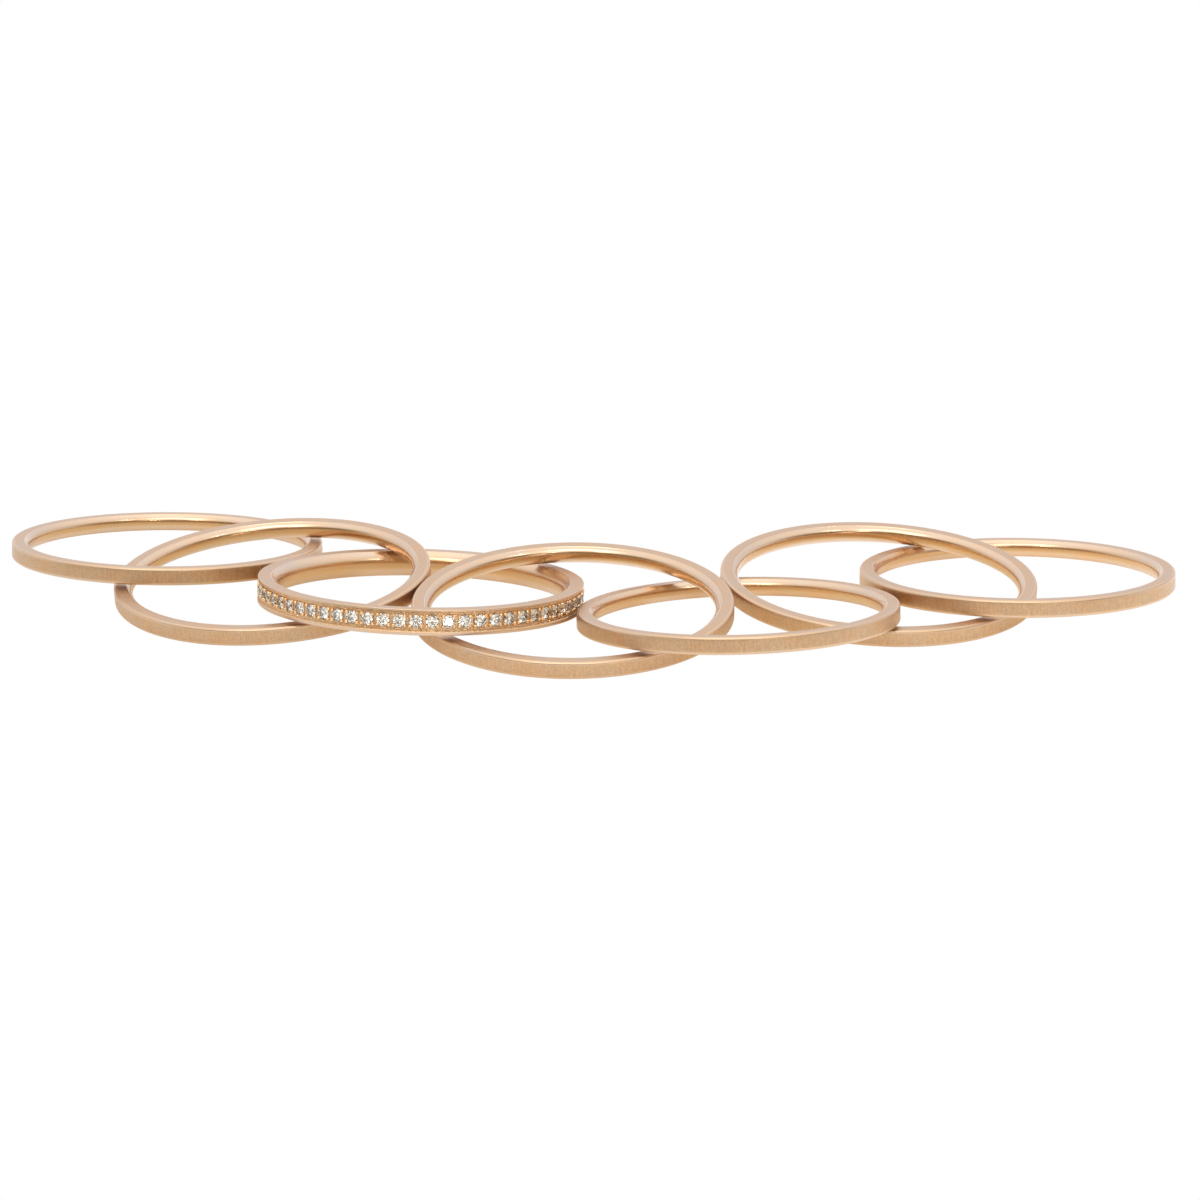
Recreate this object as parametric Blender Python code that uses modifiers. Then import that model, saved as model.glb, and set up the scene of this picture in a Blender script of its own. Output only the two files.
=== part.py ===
"""Chain ring: seven slim finger rings linked into one open chain, lying on a flat surface.

Six rings are plain flat bands. The third from the left is a taller band with a sunk
row of small round stones all the way round. Each ring is linked only with the ring
before it and the ring after it, and rests on the surface and on those two rings.

Lengths are metres, angles degrees, Z is up. The chain runs along X, and its front is
the side towards -Y. The origin is on the surface, under the middle of the whole chain.
"""
import math

import bmesh
import bpy
import numpy as np
from mathutils import Vector

# The plain bands
FINGER_BORE = 0.01736        # inner diameter at the middle of the band, the same in all seven
BAND_WALL = 0.00112          # from the bore to the outer wall
BAND_HEIGHT = 0.00108        # from the lower flat face to the upper one
BAND_COMFORT = 0.00028       # how far the rounded inner wall has gone back at its edges
EDGE_EASE = 0.00006          # flat taken off the outer edges

# The band with the stones
STONE_BAND_WALL = 0.00131
STONE_BAND_HEIGHT = 0.00158
STONE_BAND_COMFORT = 0.00046
UPPER_RAIL = 0.00017         # polished rim above the sunk row
LOWER_RAIL = 0.00029         # polished rim below it
CHANNEL_DEPTH = 0.00046      # how deep the row's groove goes into the band
CHANNEL_FLARE = 0.00005      # slope of the two bright edges of the groove

# The row of stones
STONE_COUNT = 63
STONE_DIAMETER = 0.00083     # across the girdle
STONE_TABLE = 0.00048        # across the table
SETTING_SINK = 0.00013       # how far the setting lies below the band's outer wall
GIRDLE_RISE = 0.00002        # how far the girdles stand out of the setting
TABLE_SINK = 0.00001         # how far the tables lie below it
SEAT_CLEARANCE = 0.00004     # between the setting and its groove, on every side
STONE_FACETS = 8

# How the rings lie
CONTACT_GAP = 0.00006        # between two rings where one rests on the other
RIM_GAP = 0.00008            # between the outer walls of two rings side by side
LINK_OFFSET = 0.01088        # from the middle of the first ring to that of the second
LINK_HEADING = -48.9

# Fineness
RING_STEPS = 60
OUTLINE_STEPS = 720

# One row for each ring, from left to right.
# heading: direction from the ring two places before it, seen from above, 0 along +X
# slack:   extra room to that ring beyond the rim gap, as a share of the plain wall
# front:   1 where the ring's front is lifted over its neighbours, 0 where its back is
RINGS = (
    {"name": "ring_1", "stones": False, "heading": 0.0, "slack": 0.0, "front": 1},
    {"name": "ring_2", "stones": False, "heading": 0.0, "slack": 0.0, "front": 0},
    {"name": "stone_ring_3", "stones": True, "heading": -34.3, "slack": 0.0, "front": 1},
    {"name": "ring_4", "stones": False, "heading": -19.0, "slack": 0.0, "front": 0},
    {"name": "ring_5", "stones": False, "heading": -13.0, "slack": 0.0, "front": 1},
    {"name": "ring_6", "stones": False, "heading": 18.8, "slack": 0.23, "front": 0},
    {"name": "ring_7", "stones": False, "heading": 28.2, "slack": 0.26, "front": 1},
)

# The rounded inner wall: where along the height (share of the half height), and how
# far back it has gone there (share of the comfort rounding).
COMFORT_CURVE = (
    {"along": 1.00, "back": 1.00},
    {"along": 0.80, "back": 0.41},
    {"along": 0.54, "back": 0.09},
)

GOLD_COLOUR = (0.78, 0.52, 0.36, 1.0)
STONE_COLOUR = (0.95, 0.95, 0.97, 1.0)


def clear_scene():
    """Remove whatever the scene holds."""
    for thing in list(bpy.data.objects):
        bpy.data.objects.remove(thing, do_unlink=True)


def new_collection(name):
    """Make a collection and link it to the scene."""
    group = bpy.data.collections.new(name)
    bpy.context.scene.collection.children.link(group)
    return group


def new_material(name, colour, metallic, roughness):
    """Make a plain surface of one colour."""
    material = bpy.data.materials.new(name)
    material.use_nodes = True
    surface = material.node_tree.nodes["Principled BSDF"]
    surface.inputs["Base Color"].default_value = colour
    surface.inputs["Metallic"].default_value = metallic
    surface.inputs["Roughness"].default_value = roughness
    material.diffuse_color = colour
    return material


def ring_sizes(row):
    """Outer radius, wall and height of a ring of the table."""
    wall = STONE_BAND_WALL if row["stones"] else BAND_WALL
    height = STONE_BAND_HEIGHT if row["stones"] else BAND_HEIGHT
    return FINGER_BORE / 2 + wall, wall, height


def inner_wall(height, comfort):
    """Points of the rounded inner wall, from its lower edge up to its upper edge."""
    bore = FINGER_BORE / 2
    below = [
        (bore + comfort * point["back"], -height / 2 * point["along"])
        for point in COMFORT_CURVE
    ]
    above = [(radius, -level) for radius, level in reversed(below)]
    return below + above


def plain_section():
    """Section of a plain band: down the outer wall, then up the inner one."""
    outer = FINGER_BORE / 2 + BAND_WALL
    top = BAND_HEIGHT / 2
    outside = [
        (outer - EDGE_EASE, top),
        (outer, top - EDGE_EASE),
        (outer, -top + EDGE_EASE),
        (outer - EDGE_EASE, -top),
    ]
    return outside + inner_wall(BAND_HEIGHT, BAND_COMFORT)


def channel_levels():
    """Heights of the upper and the lower side of the sunk row."""
    top = STONE_BAND_HEIGHT / 2
    return top - UPPER_RAIL, -top + LOWER_RAIL


def stone_section():
    """Section of the band with the stones: a plain one with a groove in its outer wall."""
    outer = FINGER_BORE / 2 + STONE_BAND_WALL
    top = STONE_BAND_HEIGHT / 2
    upper, lower = channel_levels()
    floor = outer - CHANNEL_DEPTH
    outside = [
        (outer - EDGE_EASE, top),
        (outer, top - EDGE_EASE),
        (outer, upper + CHANNEL_FLARE),
        (outer - SETTING_SINK, upper),
        (floor, upper),
        (floor, lower),
        (outer - SETTING_SINK, lower),
        (outer, lower - CHANNEL_FLARE),
        (outer, -top + EDGE_EASE),
        (outer - EDGE_EASE, -top),
    ]
    return outside + inner_wall(STONE_BAND_HEIGHT, STONE_BAND_COMFORT)


def setting_section():
    """Section of the strip that holds the stones, inside the groove."""
    outer = FINGER_BORE / 2 + STONE_BAND_WALL
    upper, lower = channel_levels()
    face = outer - SETTING_SINK
    back = outer - CHANNEL_DEPTH + SEAT_CLEARANCE
    return [
        (face, upper - SEAT_CLEARANCE),
        (face, lower + SEAT_CLEARANCE),
        (back, lower + SEAT_CLEARANCE),
        (back, upper - SEAT_CLEARANCE),
    ]


def turned(name, section, steps, group):
    """Turn a closed section about Z."""
    mesh = bpy.data.meshes.new(name)
    points = [(radius, 0.0, level) for radius, level in section]
    count = len(points)
    edges = [(index, (index + 1) % count) for index in range(count)]
    mesh.from_pydata(points, edges, [])
    mesh.update()
    thing = bpy.data.objects.new(name, mesh)
    group.objects.link(thing)
    turn = thing.modifiers.new("turn", "SCREW")
    turn.axis = "Z"
    turn.angle = math.radians(360.0)
    turn.steps = steps
    turn.render_steps = steps
    turn.use_merge_vertices = True
    turn.merge_threshold = 0.000001
    return thing


def finished(thing, sharp, material):
    """Turn the modifiers into the object's own mesh, shade it and give it its material."""
    bpy.context.view_layer.update()
    evaluated = thing.evaluated_get(bpy.context.evaluated_depsgraph_get())
    mesh = bpy.data.meshes.new_from_object(evaluated)
    mesh.name = thing.name
    thing.modifiers.clear()
    thing.data = mesh
    mesh.shade_smooth()
    mesh.set_sharp_from_angle(angle=math.radians(sharp))
    mesh.materials.clear()
    mesh.materials.append(material)


def stone_guides(group):
    """All the stones' crowns as one helper object, each with its table outwards."""
    outer = FINGER_BORE / 2 + STONE_BAND_WALL
    upper, lower = channel_levels()
    middle = (upper + lower) / 2
    back = outer - CHANNEL_DEPTH + 2 * SEAT_CLEARANCE
    girdle = (outer - SETTING_SINK) * math.cos(math.pi / STONE_COUNT) + GIRDLE_RISE
    table = outer - TABLE_SINK
    shape = bmesh.new()
    for index in range(STONE_COUNT):
        turn = -math.pi / 2 + 2 * math.pi * index / STONE_COUNT
        ends = (
            (back, girdle, STONE_DIAMETER, STONE_DIAMETER),
            (girdle, table, STONE_DIAMETER, STONE_TABLE),
        )
        rims = []
        for start, stop, wide, narrow in ends:
            cone = bmesh.ops.create_cone(
                shape,
                cap_ends=True,
                segments=STONE_FACETS,
                radius1=wide / 2,
                radius2=narrow / 2,
                depth=stop - start,
            )
            for vertex in cone["verts"]:
                x, y, z = vertex.co
                out = (start + stop) / 2 + z
                vertex.co = Vector((
                    out * math.cos(turn) - x * math.sin(turn),
                    out * math.sin(turn) + x * math.cos(turn),
                    middle + y,
                ))
            rims.append(cone["verts"])
        join_at_girdle(shape, rims[0], rims[1], girdle, turn)
    bmesh.ops.recalc_face_normals(shape, faces=shape.faces)
    mesh = bpy.data.meshes.new("stone_guides")
    shape.to_mesh(mesh)
    shape.free()
    guides = bpy.data.objects.new("stone_guides", mesh)
    group.objects.link(guides)
    guides.hide_render = True
    guides.display_type = "WIRE"
    return guides


def join_at_girdle(shape, lower_part, upper_part, girdle, turn):
    """Make one body of a stone's lower part and its crown, which share the girdle."""
    outward = Vector((math.cos(turn), math.sin(turn), 0.0))
    shared = [
        vertex for vertex in list(lower_part) + list(upper_part)
        if abs(vertex.co.dot(outward) - girdle) < 0.00001
    ]
    inside = {
        face for vertex in shared for face in vertex.link_faces
        if all(corner in shared for corner in face.verts)
    }
    bmesh.ops.delete(shape, geom=list(inside), context="FACES_ONLY")
    bmesh.ops.remove_doubles(shape, verts=shared, dist=0.000001)


def ring_places():
    """Middle of each ring as seen from above."""
    heading = math.radians(LINK_HEADING)
    places = []
    for index, row in enumerate(RINGS):
        if index == 0:
            places.append(Vector((0.0, 0.0)))
            continue
        if index == 1:
            step = LINK_OFFSET
            places.append(Vector((step * math.cos(heading), step * math.sin(heading))))
            continue
        before = RINGS[index - 2]
        step = ring_sizes(before)[0] + ring_sizes(row)[0] + RIM_GAP + row["slack"] * BAND_WALL
        way = math.radians(row["heading"])
        offset = Vector((step * math.cos(way), step * math.sin(way)))
        places.append(places[index - 2] + offset)
    return places


def circle(place, radius):
    """Points round a ring's outline, seen from above."""
    turns = np.linspace(0.0, 2 * math.pi, OUTLINE_STEPS, endpoint=False)
    return np.stack([place.x + radius * np.cos(turns), place.y + radius * np.sin(turns)], axis=1)


def within(points, place, row):
    """Which of the points lie over a ring's band."""
    outer, wall, _ = ring_sizes(row)
    away = np.hypot(points[:, 0] - place.x, points[:, 1] - place.y)
    return (away <= outer) & (away >= outer - wall)


def crossing(places, one, other):
    """Points where two rings' bands cross, seen from above, on the outlines of both."""
    found = []
    for this, that in ((one, other), (other, one)):
        outer, wall, _ = ring_sizes(RINGS[this])
        for radius in (outer, outer - wall):
            points = circle(places[this], radius)
            found.append(points[within(points, places[that], RINGS[that])])
    return np.concatenate(found)


def contact_rules(places):
    """What keeps the rings apart, one line for each point where they may touch.

    A ring lies in a plane, which has three values: its height in the middle, its rise
    from there to its outer wall along X, and the same along Y. A line says how much
    higher one plane has to be than another plane, or than the surface.
    """
    lines = []
    needs = []

    def plane(index, points):
        outer = ring_sizes(RINGS[index])[0]
        part = np.zeros((len(points), 3 * len(RINGS)))
        part[:, 3 * index] = 1.0
        part[:, 3 * index + 1] = (points[:, 0] - places[index].x) / outer
        part[:, 3 * index + 2] = (points[:, 1] - places[index].y) / outer
        return part

    for index in range(len(RINGS) - 1):
        points = crossing(places, index, index + 1)
        link = places[index + 1] - places[index]
        side = link.x * (points[:, 1] - places[index].y) - link.y * (points[:, 0] - places[index].x)
        in_front = side < 0
        lifted, lowered = (index, index + 1) if RINGS[index]["front"] else (index + 1, index)
        sign = np.where(in_front, 1.0, -1.0)[:, None]
        lines.append(sign * (plane(lifted, points) - plane(lowered, points)))
        heights = ring_sizes(RINGS[index])[2] + ring_sizes(RINGS[index + 1])[2]
        needs.append(np.full(len(points), heights / 2 + CONTACT_GAP))
    for index, row in enumerate(RINGS):
        outer, _, height = ring_sizes(row)
        points = circle(places[index], outer)[::6]
        lines.append(plane(index, points))
        needs.append(np.full(len(points), height / 2))
    return np.concatenate(lines), np.concatenate(needs)


def settle(places):
    """Let all rings down together until each rests on the surface and on its neighbours.

    Every ring is pulled down by its weight and pushed up wherever it comes nearer to
    what is under it than the contact gap allows, by a push that grows stiffer.
    """
    lines, needs = contact_rules(places)
    weight = np.zeros(3 * len(RINGS))
    for index, row in enumerate(RINGS):
        outer, wall, height = ring_sizes(row)
        weight[3 * index] = outer * wall * height / (FINGER_BORE * BAND_WALL * BAND_HEIGHT)
    state = np.zeros(3 * len(RINGS))
    state[0::3] = 2 * STONE_BAND_HEIGHT

    def effort(values, stiffness):
        short = np.maximum(0.0, needs - lines @ values)
        return weight @ values + stiffness / 2 * short @ short

    for power in range(3, 9):
        stiffness = 10.0 ** power
        for _ in range(200):
            short = np.maximum(0.0, needs - lines @ state)
            pressed = lines[short > 0]
            slope = weight - stiffness * pressed.T @ short[short > 0]
            bend = stiffness * (pressed.T @ pressed + 0.000001 * np.eye(len(state)))
            move = np.linalg.solve(bend, -slope)
            move = move * min(1.0, 0.3 * BAND_HEIGHT / np.abs(move).max())
            now = effort(state, stiffness)
            while np.abs(move).max() > 0.000000001 and effort(state + move, stiffness) > now:
                move = move / 2
            if np.abs(move).max() <= 0.000000001:
                break
            state = state + move
    return state.reshape(len(RINGS), 3)


def stand_on_origin(holder, rings):
    """Move the whole chain so that the middle of its underside is at the origin."""
    bpy.context.view_layer.update()
    corners = np.array([
        ring.matrix_world @ vertex.co for ring in rings for vertex in ring.data.vertices
    ])
    low = corners.min(axis=0)
    high = corners.max(axis=0)
    holder.location = (-(low[0] + high[0]) / 2, -(low[1] + high[1]) / 2, -low[2])


def build():
    """Model the seven rings where they lie."""
    clear_scene()
    parts = new_collection("chain_ring")
    helpers = new_collection("helpers")
    band_gold = new_material("rose_gold", GOLD_COLOUR, 1.0, 0.32)
    stone_gold = new_material("rose_gold_rails", GOLD_COLOUR, 1.0, 0.25)
    clear_stone = new_material("stones", STONE_COLOUR, 0.0, 0.05)

    holder = bpy.data.objects.new("chain", None)
    parts.objects.link(holder)
    places = ring_places()
    planes = settle(places)
    rings = []
    for row, place, plane in zip(RINGS, places, planes):
        outer = ring_sizes(row)[0]
        section = stone_section() if row["stones"] else plain_section()
        steps = STONE_COUNT if row["stones"] else RING_STEPS
        ring = turned(row["name"], section, steps, parts)
        finished(ring, 20.0, stone_gold if row["stones"] else band_gold)
        height, along, across = (float(value) for value in plane)
        lean_y = -math.atan(along / outer)
        lean_x = math.atan(across / outer * math.cos(lean_y))
        ring.rotation_euler = (lean_x, lean_y, 0.0)
        ring.location = (place.x, place.y, height)
        ring.parent = holder
        rings.append(ring)
        if row["stones"]:
            strip = turned("stone_row_3", setting_section(), STONE_COUNT, parts)
            union = strip.modifiers.new("stones", "BOOLEAN")
            union.operation = "UNION"
            union.solver = "EXACT"
            union.object = stone_guides(helpers)
            finished(strip, 5.0, clear_stone)
            strip.parent = ring
    stand_on_origin(holder, rings)
    bpy.context.view_layer.update()


build()
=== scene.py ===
import math

import bmesh
import bpy
import numpy as np
from mathutils import Euler, Matrix, Vector


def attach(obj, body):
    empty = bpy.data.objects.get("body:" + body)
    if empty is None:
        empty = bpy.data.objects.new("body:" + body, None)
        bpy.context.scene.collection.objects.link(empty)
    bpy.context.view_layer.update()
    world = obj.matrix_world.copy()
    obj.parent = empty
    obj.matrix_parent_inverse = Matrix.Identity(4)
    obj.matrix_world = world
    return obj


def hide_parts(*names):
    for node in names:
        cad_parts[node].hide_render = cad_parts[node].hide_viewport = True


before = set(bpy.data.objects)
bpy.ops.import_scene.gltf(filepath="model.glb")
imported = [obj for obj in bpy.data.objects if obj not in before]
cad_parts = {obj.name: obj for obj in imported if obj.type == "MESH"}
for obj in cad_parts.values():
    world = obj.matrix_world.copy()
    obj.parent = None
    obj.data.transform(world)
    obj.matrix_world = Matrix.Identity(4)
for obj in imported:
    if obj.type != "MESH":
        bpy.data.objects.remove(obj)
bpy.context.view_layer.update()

MM = 0.001
WHITE = (1.0, 1.0, 1.0)

PLAIN_RINGS = ("ring_1", "ring_2", "ring_4", "ring_5", "ring_6", "ring_7")
STONE_RING = "stone_ring_3"
STONE_ROW = "stone_row_3"

# The camera's place in metres, from its tilt down, its distance and a small shift, and its
# focal length and the width of its sensor in millimetres
EYE_TILT = math.radians(16.042)
EYE_AWAY = 0.32812
EYE_SHIFT = (0.00072, 0.00072, -0.00003)
EYE = Vector((
    EYE_SHIFT[0],
    EYE_SHIFT[1] - EYE_AWAY * math.cos(EYE_TILT),
    EYE_AWAY * math.sin(EYE_TILT) + EYE_SHIFT[2],
))
LENS = 158.37
SENSOR = 36.0

# Sizes of the bands in millimetres. They are the solids' own, apart from the plain bands'
# softer outer edges, and the groove, which is deeper out of sight and has finer lips and a
# setting that is less sunk.
BORE = 8.68
PLAIN = {"outer": 9.80, "height": 1.08, "comfort": 0.28, "ease": 0.17, "corner_points": 8}
STONED = {"outer": 9.99, "height": 1.58, "comfort": 0.46, "ease": 0.06, "corner_points": 5}
UPPER_RAIL = 0.17
LOWER_RAIL = 0.29
CHANNEL_DEPTH = 0.60
SETTING_SINK = 0.11
GROOVE_TOP = STONED["height"] / 2 - UPPER_RAIL
GROOVE_LOW = -STONED["height"] / 2 + LOWER_RAIL
SETTING_FACE = STONED["outer"] - SETTING_SINK

# The rounded inner wall: its points, how full its curve is, and where it stops short of the
# flat faces. The soft edge after it is given outwards from there, and down from the face.
COMFORT_STEPS = 28
COMFORT_POWER = 2.7
COMFORT_STOP = 0.03
INNER_EDGE = ((0.012, 0.012), (0.035, 0.004), (0.07, 0.0))

# The outer walls: levels on a plain one, and on the one with stones the two lips of its
# groove, given inwards from the outer wall and upwards from the groove's own edge.
OUTER_LEVELS = (0.2, 0.0, -0.2)
UPPER_LIP = (
    (0.0, 0.055, "rail"),
    (0.012, 0.043, "cut"),
    (SETTING_SINK + 0.05, 0.002, "cut"),
    (SETTING_SINK + 0.07, 0.0, "cut"),
    (CHANNEL_DEPTH, 0.0, "cut"),
)
LOWER_LIP = (
    (CHANNEL_DEPTH, 0.0, "cut"),
    (SETTING_SINK + 0.02, 0.0, "cut"),
    (SETTING_SINK - 0.01, -0.004, "cut"),
    (0.010, -0.085, "cut"),
    (0.0, -0.100, "rail"),
)

# Between two zones, the finish of the one that comes first here
ZONE_ORDER = ("bore", "cut", "rail", "outer", "face", "edge")

TURN_STEPS = 288
BAND_SHARP = 24.0
STRIP_SHARP = 35.0

# The stones, in millimetres and degrees. Sines of uneven steps stand in for chance in how
# each one lies, and in the beads and grains, so that every run makes the same row.
STONE_COUNT = 63
STONE_RADIUS = 0.392
STONE_TABLE = 0.224
STONE_STAR = 0.319
STONE_PIT = 0.095
STONE_CROWN = 0.121
STONE_DEPTH = 0.342
STONE_GIRDLE = 0.010
STONE_RISE = 0.004
HALF_FACET = 22.5
STONE_TILT = 3.2
STONE_SPIN = (17.0, 9.0, 5)
BRIGHT_STONE = 2
BRIGHT_TILT = -7.0

# The seats: radius, and level from the setting's face. The border round each lies lower, by
# BORDER_SINK at mid height and by BORDER_SLOPE more at the upper rail and less at the lower.
# Corners of neighbouring seats are one where they are closer than WELD, in metres.
SEAT_LEVELS = ((0.380, -0.40), (0.380, -0.016), (0.410, -0.008), (0.432, -0.045))
SEAT_SIDE_POINTS = 10
BORDER_SINK = 0.035
BORDER_SLOPE = 0.03
STRIP_DEPTH = 0.46
WELD = 1e-8

# Beads and grains: place along the row, up, and out of the seat's frame, and radius. A grain
# that sways along the row also moves up, by GRAIN_LIFT of its sway.
BEAD_PLACE = (0.338, 0.306, 0.025)
BEAD_SIZE = 0.112
BEAD_SWAY = 0.014
GRAIN_COUNT = 6
GRAIN_START = -0.41
GRAIN_PITCH = 0.164
GRAIN_SWAY = 0.02
GRAIN_LIFT = 0.4
GRAIN_SIZE = 0.044
GRAIN_SIZE_SWAY = 0.010
LOWER_GRAIN = (0.0, -0.500, -0.025)
UPPER_GRAIN = (0.08, 0.505, -0.070)

# Tones of the gold, and the noise in it: how fine it is along X, Y and Z, per millimetre, and
# the range that most of its values lie in
# The flat faces' paler, pinker tone is partly their satin finish and partly a painted sheen
FACE_TONE = (0.586, 0.402, 0.263)
# The inner walls' rim tone, paler than the rest of the bore, is a painted highlight
RIM_PAINTED_HIGHLIGHT = (0.730, 0.530, 0.372)
BORE_TONE = (0.660, 0.413, 0.212)
SPECKS = (9.0, 9.0, 7.0)
PATCHES = (0.45, 0.45, 0.9)
PATCH_WARM = (1.04, 0.975, 0.90)
PATCH_COOL = (0.97, 1.015, 1.06)
NOISE_LOW = 0.3
NOISE_HIGH = 0.7
BUMP_DEPTH = 0.00002

# The clear stones: tones, index of refraction, and a haze, how fine and how rough it is. The warm
# tint of their shine is a painted reflection of the gold around them.
STONE_TONE = (1.0, 0.885, 0.73, 1.0)
STONE_PAINTED_SHINE = (1.0, 0.82, 0.66, 1.0)
STONE_INDEX = 2.42
HAZE = (3.0, 3.0, 3.0)
HAZE_ROUGH = 0.012

# The sockets of a mix of two colours, by number, because several share a name
MIX_FACTOR = 0
MIX_ONE = 6
MIX_TWO = 7
MIX_RESULT = 2

# The floor as reflections see it: its paper and its glow on the left and on the right, and its
# dimmer, warmer tone near a ring's middle, out to the first radius below and fading out by the
# second. All of it is painted light: the glow paints golden bounce light into the floor's shadows,
# the darker left is a painted shade, and the dimmer, warmer tone is a painted shadow of the rings
# with the gold's bounce light in it.
FLOOR_SIZE = 6.0
FLOOR_LEVEL = -0.00001
FLOOR_LEFT = -0.055
FLOOR_RIGHT = 0.045
PAPER_LEFT = (0.440, 0.587, 0.728)
PAPER_RIGHT = (0.560, 0.746, 0.927)
PAINTED_GLOW_LEFT = (0.505, 0.368, 0.228)
PAINTED_GLOW_RIGHT = (0.630, 0.458, 0.284)
PAINTED_POOL_INNER = 6.4
PAINTED_POOL_OUTER = 8.5
PAINTED_POOL_SHADE = (0.87, 0.80, 0.66)


def grey(value):
    return (value, value, value)


# The sky's tones by height, from the horizon (0) to straight up (1)
DIM = (0.25, 0.19, 0.11)
BROWN = (0.10, 0.07, 0.05)
FRONT_SKY = (
    (0.0, (0.55, 0.48, 0.37)),
    (0.10, DIM),
    (0.33, DIM),
    (0.62, grey(1.25)),
    (0.88, grey(1.30)),
    (0.93, grey(0.65)),
    (0.975, grey(1.6)),
    (1.0, grey(1.6)),
)
REAR_SKY = (
    (0.0, (0.98, 0.98, 1.00)),
    (0.34, (1.02, 1.10, 1.28)),
    (0.60, (1.22, 1.26, 1.34)),
    (0.82, (1.32, 1.36, 1.44)),
    (1.0, (1.58, 1.62, 1.70)),
)
GEM_SKY = (
    (0.0, BROWN),
    (0.25, BROWN),
    (0.29, grey(1.7)),
    (0.36, grey(1.7)),
    (0.40, grey(0.06)),
    (0.60, grey(0.10)),
    (0.65, grey(2.3)),
    (0.73, grey(2.3)),
    (0.78, grey(0.12)),
    (1.0, grey(0.5)),
)

# Where the front sky goes over to the rear one, the sky's sides from left to right, and the
# sides that light through a stone sees, from the middle (0) to far aside (1)
FRONT_END = -0.70
REAR_START = 0.25
SIDE_REACH = 0.9
SIDES = ((0.0, grey(0.93)), (0.5, WHITE), (1.0, grey(0.88)))
GEM_SIDES = ((0.0, grey(1.08)), (0.50, WHITE), (0.90, (0.80, 0.52, 0.40)))

# Softboxes: place and size in metres, and power. One more, lamp four, stands GLINT_AWAY off
# the bright stone, where that stone's table mirrors it.
LAMPS = {
    "front": ((-0.05, -0.294, 0.405), (0.36, 0.13), 0.37),
    "lamp_one": ((0.10, -0.36, 0.20), (0.016, 0.016), 0.07),
    "lamp_two": ((-0.16, -0.32, 0.26), (0.016, 0.016), 0.07),
    "lamp_three": ((0.30, -0.30, 0.36), (0.03, 0.03), 0.10),
}
GLINT_AWAY = 0.42
GLINT_SIZE = (0.03, 0.03)
GLINT_POWER = 0.04


def ring_place(name):
    """The ring's own frame: its middle, with Z along its axis."""
    points = np.array([vertex.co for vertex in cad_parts[name].data.vertices])
    # Each corner counts once, however many vertices share it
    points = np.unique(points.round(7), axis=0)
    middle = points.mean(axis=0)
    axis = np.linalg.svd(points - middle)[2][2]
    axis = axis * np.sign(axis[2])
    levels = (points - middle) @ axis
    middle = middle + axis * (levels.min() + levels.max()) / 2
    lean_x = -math.asin(axis[1])
    lean_y = math.atan2(axis[0], axis[2])
    turn = Euler((lean_x, lean_y, 0.0)).to_matrix().to_4x4()
    return Matrix.Translation(Vector(middle)) @ turn


def finished(name, shape, place, materials, sharp=None):
    """The shape as an object in its ring's frame."""
    mesh = bpy.data.meshes.new(name)
    shape.to_mesh(mesh)
    shape.free()
    for material in materials:
        mesh.materials.append(material)
    if sharp:
        mesh.set_sharp_from_angle(angle=math.radians(sharp))
    thing = bpy.data.objects.new(name, mesh)
    bpy.context.scene.collection.objects.link(thing)
    thing.matrix_world = place
    return thing


# Turned metal. A section is a closed row of points (radius, level, zone): the level is
# measured along the ring's axis from the band's middle, and the zone names the finish.

def comfort_wall(band):
    """The rounded inner wall, from its lower edge up."""
    points = []
    for index in range(COMFORT_STEPS + 1):
        share = -1.0 + 2.0 * index / COMFORT_STEPS
        radius = BORE + band["comfort"] * abs(share) ** COMFORT_POWER
        points.append((radius, share * (band["height"] / 2 - COMFORT_STOP), "bore"))
    return points


def corner(band, side):
    """A rounded outer corner, the upper (side 1) or the lower one (side -1), from above."""
    ease = band["ease"]
    radius = band["outer"] - ease
    level = side * (band["height"] / 2 - ease)
    start = 90.0 if side > 0 else 0.0
    count = band["corner_points"]
    points = []
    for index in range(count):
        angle = math.radians(start - 90.0 * index / (count - 1))
        points.append((radius + ease * math.cos(angle), level + ease * math.sin(angle), "edge"))
    return points


def inner_corner(band, side):
    """The soft edge between the rounded inner wall and a flat face."""
    edge = BORE + band["comfort"]
    points = [(edge + out, side * (band["height"] / 2 - low), "bore") for out, low in INNER_EDGE]
    points[-1] = (*points[-1][:2], "face")
    return points


def section(band, outer_wall):
    """A band's whole section, from its upper outer corner round to the inner wall."""
    outside = corner(band, 1.0) + outer_wall + corner(band, -1.0)
    below = inner_corner(band, -1.0)[::-1]
    return outside + below + comfort_wall(band) + inner_corner(band, 1.0)


def plain_section():
    return section(PLAIN, [(PLAIN["outer"], level, "outer") for level in OUTER_LEVELS])


def stoned_section():
    wall = []
    for lip, edge in ((UPPER_LIP, GROOVE_TOP), (LOWER_LIP, GROOVE_LOW)):
        wall += [(STONED["outer"] - inwards, edge + rise, zone) for inwards, rise, zone in lip]
    return section(STONED, wall)


def turned(name, points, place, materials):
    """Turn a section about the ring's axis; materials holds one finish for each zone."""
    shape = bmesh.new()
    rows = []
    for index in range(TURN_STEPS):
        turn = 2 * math.pi * index / TURN_STEPS
        rows.append([
            shape.verts.new((r * MM * math.cos(turn), r * MM * math.sin(turn), z * MM))
            for r, z, _ in points
        ])
    zones = list(materials)
    count = len(points)
    for this, that in zip(rows, rows[1:] + rows[:1]):
        for k in range(count):
            after = (k + 1) % count
            face = shape.faces.new((this[k], this[after], that[after], that[k]))
            zone = min(points[k][2], points[after][2], key=ZONE_ORDER.index)
            face.material_index = zones.index(zone)
            face.smooth = True
    bmesh.ops.recalc_face_normals(shape, faces=shape.faces)
    return finished(name, shape, place, materials.values(), BAND_SHARP)


# The row of stones

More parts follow.
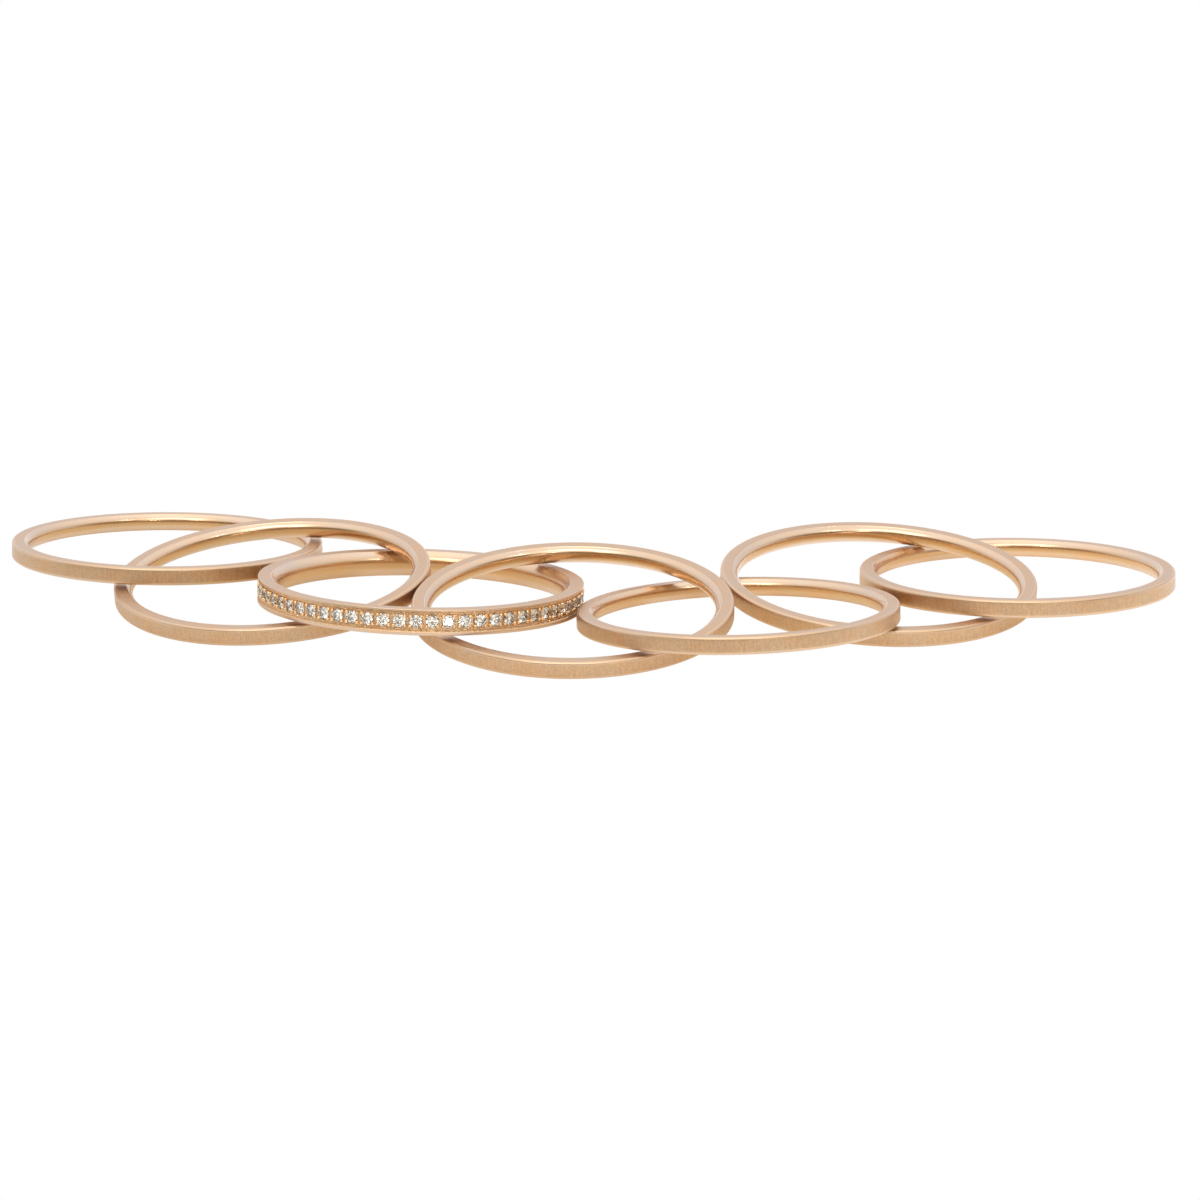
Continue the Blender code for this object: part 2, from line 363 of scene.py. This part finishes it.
def brilliant(shape, place):
    """One round stone: table, stars, kites, upper and lower girdle facets."""
    points = []

    def circle(radius, level, count, start=0.0):
        for index in range(count):
            angle = math.radians(360.0 * index / count + start)
            points.append((radius * math.cos(angle), radius * math.sin(angle), level))

    half = math.cos(math.radians(HALF_FACET))
    slope = (STONE_CROWN - STONE_GIRDLE) / (STONE_RADIUS - STONE_TABLE)
    fall = (STONE_DEPTH - STONE_GIRDLE) / STONE_RADIUS
    circle(STONE_TABLE, STONE_CROWN, 8)
    circle(STONE_STAR, STONE_CROWN - slope * (STONE_STAR * half - STONE_TABLE), 8, HALF_FACET)
    circle(STONE_RADIUS, STONE_GIRDLE, 16)
    circle(STONE_RADIUS, -STONE_GIRDLE, 16)
    circle(STONE_PIT, -STONE_DEPTH + fall * STONE_PIT * half, 8, HALF_FACET)
    points.append((0.0, 0.0, -STONE_DEPTH))
    verts = [shape.verts.new(place @ Vector(point) * MM) for point in points]
    bmesh.ops.convex_hull(shape, input=verts)


def seat_frame(index):
    """The frame of one stone's seat: X along the row, Y up, Z outwards, in millimetres."""
    turn = -math.pi / 2 + 2 * math.pi * index / STONE_COUNT
    face = SETTING_FACE * math.cos(math.pi / STONE_COUNT)
    out = Vector((math.cos(turn), math.sin(turn), 0.0))
    along = Vector((-math.sin(turn), math.cos(turn), 0.0))
    up = Vector((0.0, 0.0, 1.0))
    axes = Matrix((along, up, out)).transposed().to_4x4()
    middle = (GROOVE_TOP + GROOVE_LOW) / 2
    return Matrix.Translation(out * (face + STONE_RISE) + up * middle) @ axes


def stone_lie(index):
    """The frame of one stone as it was set, tilted a little in its seat."""
    lean = BRIGHT_TILT if index == BRIGHT_STONE else STONE_TILT * math.sin(2.4 * index)
    each, extra, cycle = STONE_SPIN
    spin = Matrix.Rotation(math.radians(each * index + extra * (index % cycle)), 4, "Z")
    tilt = Matrix.Rotation(math.radians(lean), 4, "X")
    sway = Matrix.Rotation(math.radians(STONE_TILT * math.cos(3.1 * index)), 4, "Y")
    return seat_frame(index) @ tilt @ sway @ spin


def stones(place, material):
    shape = bmesh.new()
    for index in range(STONE_COUNT):
        brilliant(shape, stone_lie(index))
    bmesh.ops.recalc_face_normals(shape, faces=shape.faces)
    return finished("stones", shape, place, [material])


def beads(place, material):
    """Four small beads pushed over each stone's edge, and fine grains along both rails."""
    shape = bmesh.new()

    def grain(seat, spot, size, fineness):
        made = bmesh.ops.create_icosphere(shape, subdivisions=fineness, radius=size * MM)
        for vertex in made["verts"]:
            vertex.co = (seat @ (vertex.co / MM + Vector(spot))) * MM

    along, up, out = BEAD_PLACE
    for index in range(STONE_COUNT):
        seat = seat_frame(index)
        for side in (-1.0, 1.0):
            for rise in (-1.0, 1.0):
                wob = BEAD_SWAY * math.sin(7.0 * index + 3.0 * side + rise)
                size = BEAD_SIZE + BEAD_SWAY * math.sin(5.0 * index + side - 2.0 * rise)
                grain(seat, (side * (along + wob), rise * (up - wob), out), size, fineness=2)
        for step in range(GRAIN_COUNT):
            shift = GRAIN_SWAY * math.sin(11.0 * index + 5.0 * step)
            across = GRAIN_START + GRAIN_PITCH * step + shift
            size = GRAIN_SIZE + GRAIN_SIZE_SWAY * math.sin(4.0 * index + 3.0 * step)
            for more, level, depth in (LOWER_GRAIN, UPPER_GRAIN):
                lift = GRAIN_LIFT * shift
                grain(seat, (across + more, level + lift, depth), size, fineness=1)
    for face in shape.faces:
        face.smooth = True
    return finished("beads", shape, place, [material])


def setting_strip(place, material):
    """The metal round the stones: an open seat for each, its wall and its floor."""
    shape = bmesh.new()
    tall = (GROOVE_TOP - GROOVE_LOW) / 2
    middle = (GROOVE_TOP + GROOVE_LOW) / 2
    half = math.pi / STONE_COUNT
    steps = [2.0 * index / SEAT_SIDE_POINTS for index in range(SEAT_SIDE_POINTS)]
    border = [(-1.0 + step, -1.0) for step in steps]
    border += [(1.0, -1.0 + step) for step in steps]
    border += [(1.0 - step, 1.0) for step in steps]
    border += [(-1.0, 1.0 - step) for step in steps]
    count = len(border)

    def spot(seat, share, rise, level):
        turn = seat + share * half
        radius = (SETTING_FACE + level) * MM
        point = (radius * math.cos(turn), radius * math.sin(turn), (middle + rise) * MM)
        return shape.verts.new(point)

    for number in range(STONE_COUNT):
        seat = -math.pi / 2 + 2 * half * number
        rows = []
        for radius, level in SEAT_LEVELS:
            row = []
            for across, up in border:
                angle = math.atan2(up * tall, across * SETTING_FACE * half)
                share = radius * math.cos(angle) / (SETTING_FACE * half)
                row.append(spot(seat, share, radius * math.sin(angle), level))
            rows.append(row)
        rows.append([
            spot(seat, across, up * tall, -BORDER_SINK - BORDER_SLOPE * up) for across, up in border
        ])
        for inner, outer in zip(rows[:-1], rows[1:]):
            for k in range(count):
                after = (k + 1) % count
                shape.faces.new((inner[k], inner[after], outer[after], outer[k]))
        shape.faces.new(rows[0][::-1])
    bmesh.ops.remove_doubles(shape, verts=shape.verts, dist=WELD)
    rim = [edge for edge in shape.edges if edge.is_boundary]
    made = bmesh.ops.extrude_edge_only(shape, edges=rim)["geom"]
    for vertex in (item for item in made if isinstance(item, bmesh.types.BMVert)):
        radius = math.hypot(vertex.co.x, vertex.co.y)
        vertex.co.x *= (SETTING_FACE - STRIP_DEPTH) * MM / radius
        vertex.co.y *= (SETTING_FACE - STRIP_DEPTH) * MM / radius
    rings = [edge for edge in shape.edges if edge.is_boundary]
    bmesh.ops.bridge_loops(shape, edges=rings)
    bmesh.ops.recalc_face_normals(shape, faces=shape.faces)
    for face in shape.faces:
        face.smooth = True
    return finished("setting_strip", shape, place, [material], STRIP_SHARP)


# Finishes

def opaque(tone):
    """A tone with its alpha, or another node's output as it is."""
    return tone if isinstance(tone, bpy.types.NodeSocket) else (*tone, 1.0)


class Nodes:
    """A short way to lay out the nodes of a material or of the world."""

    def __init__(self, owner):
        owner.use_nodes = True
        self.owner = owner
        self.tree = owner.node_tree

    def fill(self, node, sockets):
        """Give each named socket its value, or link another node's output to it."""
        for key, value in sockets.items():
            if isinstance(value, bpy.types.NodeSocket):
                self.tree.links.new(value, node.inputs[key])
            else:
                node.inputs[key].default_value = value

    def add(self, kind, sockets, **settings):
        node = self.tree.nodes.new(kind)
        for key, value in settings.items():
            setattr(node, key, value)
        self.fill(node, sockets)
        return node

    def coordinates(self, output):
        return self.add("ShaderNodeTexCoord", {}).outputs[output]

    def axes(self, where):
        return self.add("ShaderNodeSeparateXYZ", {0: where}).outputs

    def calculated(self, operation, *values):
        return self.add("ShaderNodeMath", dict(enumerate(values)), operation=operation).outputs[0]

    def noise(self, scale, detail, rough):
        """Noise on the piece, its scale given per millimetre along X, Y and Z."""
        per_metre = [value / MM for value in scale]
        where = self.add("ShaderNodeMapping", {
            "Scale": per_metre,
            "Vector": self.coordinates("Object"),
        })
        grain = self.add("ShaderNodeTexNoise", {
            "Scale": 1.0,
            "Detail": detail,
            "Roughness": rough,
            "Vector": where.outputs["Vector"],
        })
        return grain.outputs["Fac"]

    def fitted(self, value, start, stop, low=0.0, high=1.0, shape="SMOOTHSTEP"):
        """The value's range from start to stop, brought to the range from low to high."""
        fit = self.add("ShaderNodeMapRange", {
            "Value": value,
            "From Min": start,
            "From Max": stop,
            "To Min": low,
            "To Max": high,
        }, interpolation_type=shape)
        return fit.outputs["Result"]

    def span(self, noise, low, high):
        """The middle of a noise's range, brought to the range from low to high."""
        return self.fitted(noise, NOISE_LOW, NOISE_HIGH, low, high, "LINEAR")

    def mixed(self, factor, one, two, blend="MIX"):
        mix = self.add("ShaderNodeMix", {
            MIX_FACTOR: factor,
            MIX_ONE: opaque(one),
            MIX_TWO: opaque(two),
        }, data_type="RGBA", blend_type=blend)
        return mix.outputs[MIX_RESULT]

    def product(self, one, two):
        return self.mixed(1.0, one, two, "MULTIPLY")

    def mottled(self, grains, tone, mottle):
        """The tone with darker and lighter grains in it."""
        dark = [value * (1.0 - mottle) for value in tone]
        light = [value * (1.0 + mottle) for value in tone]
        return self.mixed(grains, dark, light)

    def ramp(self, value, stops):
        node = self.add("ShaderNodeValToRGB", {"Fac": value})
        node.color_ramp.interpolation = "EASE"
        while len(node.color_ramp.elements) < len(stops):
            node.color_ramp.elements.new(0.5)
        for element, (place, tone) in zip(node.color_ramp.elements, stops):
            element.position = place
            element.color = opaque(tone)
        return node.outputs["Color"]

    def nearest(self, where, points):
        """How far where is from the nearest of the points, in metres."""
        best = None
        for point in points:
            apart = self.add("ShaderNodeVectorMath", {0: where, 1: point}, operation="DISTANCE")
            apart = apart.outputs["Value"]
            best = apart if best is None else self.calculated("MINIMUM", best, apart)
        return best

    def bump(self, height, strength):
        node = self.add("ShaderNodeBump", {
            "Strength": strength,
            "Distance": BUMP_DEPTH,
            "Height": height,
        })
        return node.outputs["Normal"]


def gold(name, tone, rough, grain, bump, mottle, spread=0.05, rim=None):
    """Rose gold: its tone shifts a little in patches, with a fine grain in it.

    The rim is for inner walls. Near the flat faces, from the level "start" to "stop" off the band's
    middle, the metal goes over to the rim's own tone and roughness; the rim's paler tone is a
    painted highlight.
    """
    made = Nodes(bpy.data.materials.new(name))
    fine = made.noise(grain, detail=5.0, rough=0.7)
    specks = made.noise(SPECKS, detail=3.0, rough=0.7)
    patches = made.noise(PATCHES, detail=3.0, rough=0.55)
    grains = made.calculated("ADD", made.span(fine, 0.0, 0.5), made.span(specks, 0.0, 0.5))
    shade = made.mottled(grains, tone, mottle)
    satin = made.span(fine, rough - spread, rough + spread)
    if rim:
        off_middle = made.calculated("ABSOLUTE", made.axes(made.coordinates("Object"))["Z"])
        share = made.fitted(off_middle, rim["start"] * MM, rim["stop"] * MM)
        shade = made.mixed(share, shade, made.mottled(grains, rim["tone"], mottle))
        satin = made.calculated("MULTIPLY_ADD", share, rim["rough"] - rough, satin)
    warm = made.mixed(made.span(patches, 0.0, 1.0), PATCH_WARM, PATCH_COOL)
    made.fill(made.tree.nodes["Principled BSDF"], {
        "Metallic": 1.0,
        "Base Color": made.product(shade, warm),
        "Roughness": satin,
        "Normal": made.bump(grains, bump),
    })
    return made.owner


def inner_wall(name, start, stop):
    """Polished gold that goes over to a paler rim, a painted highlight."""
    rim = {"tone": RIM_PAINTED_HIGHLIGHT, "rough": 0.24, "start": start, "stop": stop}
    return gold(name, BORE_TONE, rough=0.25, grain=(12.0, 12.0, 1.6), bump=0.02, mottle=0.05,
                spread=0.02, rim=rim)


def finishes():
    return {
        "outer": gold("gold_brushed_wall", (0.586, 0.368, 0.205), rough=0.42,
                      grain=(11.0, 11.0, 1.2), bump=0.60, mottle=0.28),
        "face": gold("gold_matte_face", FACE_TONE, rough=0.44,
                     grain=(13.0, 13.0, 13.0), bump=0.30, mottle=0.09),
        # The edges' paler tone is a painted highlight along the rounded corners
        "edge": gold("gold_edge", (0.67, 0.462, 0.295), rough=0.36,
                     grain=(9.0, 9.0, 3.0), bump=0.06, mottle=0.06),
        "bore": inner_wall("gold_polished_bore", 0.08, 0.40),
        "tall_bore": inner_wall("gold_polished_tall_bore", 0.16, 0.64),
        # The rails' paler, pinker tone is partly their finish and partly a painted sheen
        "rail": gold("gold_polished_rail", (0.69, 0.49, 0.34), rough=0.32,
                     grain=(7.0, 7.0, 7.0), bump=0.12, mottle=0.07),
        "cut": gold("gold_bright_cut", (0.70, 0.45, 0.245), rough=0.24,
                    grain=(8.0, 8.0, 8.0), bump=0.80, mottle=0.28),
        # The beads' much paler tone is a painted glint
        "bead": gold("gold_bead", (0.90, 0.62, 0.35), rough=0.12,
                     grain=(9.0, 9.0, 9.0), bump=0.20, mottle=0.10),
    }


def stone_finish():
    made = Nodes(bpy.data.materials.new("clear_stone"))
    haze = made.noise(HAZE, detail=2.0, rough=0.5)
    made.fill(made.tree.nodes["Principled BSDF"], {
        "Base Color": STONE_TONE,
        "Specular Tint": STONE_PAINTED_SHINE,
        "Metallic": 0.0,
        "IOR": STONE_INDEX,
        "Transmission Weight": 1.0,
        "Roughness": made.span(haze, 0.0, HAZE_ROUGH),
    })
    return made.owner


def dress():
    """Put the detailed pieces in the place of the CAD nodes."""
    finish = finishes()
    zones = {key: finish[key] for key in ("outer", "face", "edge", "bore")}
    for name in PLAIN_RINGS:
        ring = turned("band_" + name, plain_section(), ring_place(name), zones)
        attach(ring, "root")
        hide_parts(name)
    place = ring_place(STONE_RING)
    zones = {key: finish[key] for key in ("rail", "face", "edge", "cut")}
    zones["bore"] = finish["tall_bore"]
    ring = turned("band_" + STONE_RING, stoned_section(), place, zones)
    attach(ring, "root")
    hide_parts(STONE_RING)
    strip = setting_strip(place, finish["cut"])
    row = stones(place, stone_finish())
    dots = beads(place, finish["bead"])
    for piece, slot in ((strip, "rose_gold_rails"), (row, "stones"), (dots, "rose_gold_rails")):
        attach(piece, "root")
        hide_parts(STONE_ROW)


# The studio

def floor():
    """White to the eye. What it throws back onto the metal is painted light: its glow paints golden
    bounce light into its shadows, a painted shade makes it a little darker on the left, and inside
    the rings it is dimmer and warmer, a painted shadow with the gold's bounce light in it.
    """
    made = Nodes(bpy.data.materials.new("white_floor"))
    where = made.coordinates("Object")
    # Painted light, seen only in reflections: a darker left, a warm glow, and a painted shadow in
    # each ring
    rightness = made.fitted(made.axes(where)["X"], FLOOR_LEFT, FLOOR_RIGHT)
    paper = made.mixed(rightness, PAPER_LEFT, PAPER_RIGHT)
    painted_glow = made.mixed(rightness, PAINTED_GLOW_LEFT, PAINTED_GLOW_RIGHT)
    centres = []
    for name in (*PLAIN_RINGS, STONE_RING):
        middle = ring_place(name).translation
        centres.append((middle.x, middle.y, 0.0))
    away = made.fitted(made.nearest(where, centres), PAINTED_POOL_INNER * MM, PAINTED_POOL_OUTER * MM)
    inside = made.mixed(away, PAINTED_POOL_SHADE, WHITE)
    surface = made.tree.nodes["Principled BSDF"]
    made.fill(surface, {
        "Base Color": made.product(paper, inside),
        "Emission Color": made.product(painted_glow, inside),
        "Emission Strength": 1.0,
        "Roughness": 1.0,
        "Specular IOR Level": 0.0,
    })
    either = made.add("ShaderNodeMixShader", {
        0: made.add("ShaderNodeLightPath", {}).outputs["Is Camera Ray"],
        1: surface.outputs[0],
        2: made.add("ShaderNodeEmission", {}).outputs[0],
    })
    made.fill(made.tree.nodes["Material Output"], {"Surface": either.outputs[0]})
    bpy.ops.mesh.primitive_plane_add(size=FLOOR_SIZE, location=(0.0, 0.0, FLOOR_LEVEL))
    plane = bpy.context.object
    plane.name = "floor"
    plane.data.materials.append(made.owner)


def sky():
    """A soft room: dim low down in front, bright above and behind, plain white to the eye.

    Light that comes through a stone sees stronger bands, so that the facets stand out.
    """
    world = bpy.data.worlds.new("studio")
    bpy.context.scene.world = world
    made = Nodes(world)
    axes = made.axes(made.coordinates("Generated"))
    front = made.ramp(axes["Z"], FRONT_SKY)
    rear = made.ramp(axes["Z"], REAR_SKY)
    room = made.mixed(made.fitted(axes["Y"], FRONT_END, REAR_START), front, rear)
    sides = made.ramp(made.fitted(axes["X"], -SIDE_REACH, SIDE_REACH), SIDES)
    room = made.product(room, sides)
    gem_sides = made.ramp(made.calculated("ABSOLUTE", axes["X"]), GEM_SIDES)
    gems = made.product(made.ramp(axes["Z"], GEM_SKY), gem_sides)
    path = made.add("ShaderNodeLightPath", {})
    room = made.mixed(path.outputs["Is Transmission Ray"], room, gems)
    seen = made.mixed(path.outputs["Is Camera Ray"], room, WHITE)
    made.fill(made.tree.nodes["Background"], {"Color": seen, "Strength": 1.0})


def softbox(name, where, size, power):
    """A lamp that is aimed at the rings and can't be seen itself."""
    light = bpy.data.lights.new(name, "AREA")
    light.shape = "RECTANGLE"
    light.size, light.size_y = size
    light.energy = power
    thing = bpy.data.objects.new(name, light)
    bpy.context.scene.collection.objects.link(thing)
    thing.location = where
    thing.visible_camera = False
    thing.rotation_euler = (-Vector(where)).to_track_quat("-Z", "Y").to_euler()


def glint_place(away):
    """Where a lamp stands that the bright stone's table mirrors into the camera."""
    place = ring_place(STONE_RING)
    lie = stone_lie(BRIGHT_STONE)
    spot = place @ (lie.translation * MM)
    normal = (place.to_3x3() @ lie.to_3x3() @ Vector((0.0, 0.0, 1.0))).normalized()
    view = (EYE - spot).normalized()
    return spot + away * (2 * normal.dot(view) * normal - view)


def camera():
    lens = bpy.data.cameras.new("camera")
    lens.sensor_width = SENSOR
    lens.lens = LENS
    lens.clip_start = 0.01
    lens.clip_end = 20.0
    thing = bpy.data.objects.new("camera", lens)
    bpy.context.scene.collection.objects.link(thing)
    thing.location = EYE
    thing.rotation_euler = (math.pi / 2 - EYE_TILT, 0.0, 0.0)
    bpy.context.scene.camera = thing


dress()
floor()
sky()
for lamp, (spot, size, power) in LAMPS.items():
    softbox(lamp, spot, size, power)
softbox("lamp_four", glint_place(GLINT_AWAY), GLINT_SIZE, GLINT_POWER)
camera()
bpy.context.scene.view_settings.view_transform = "Standard"
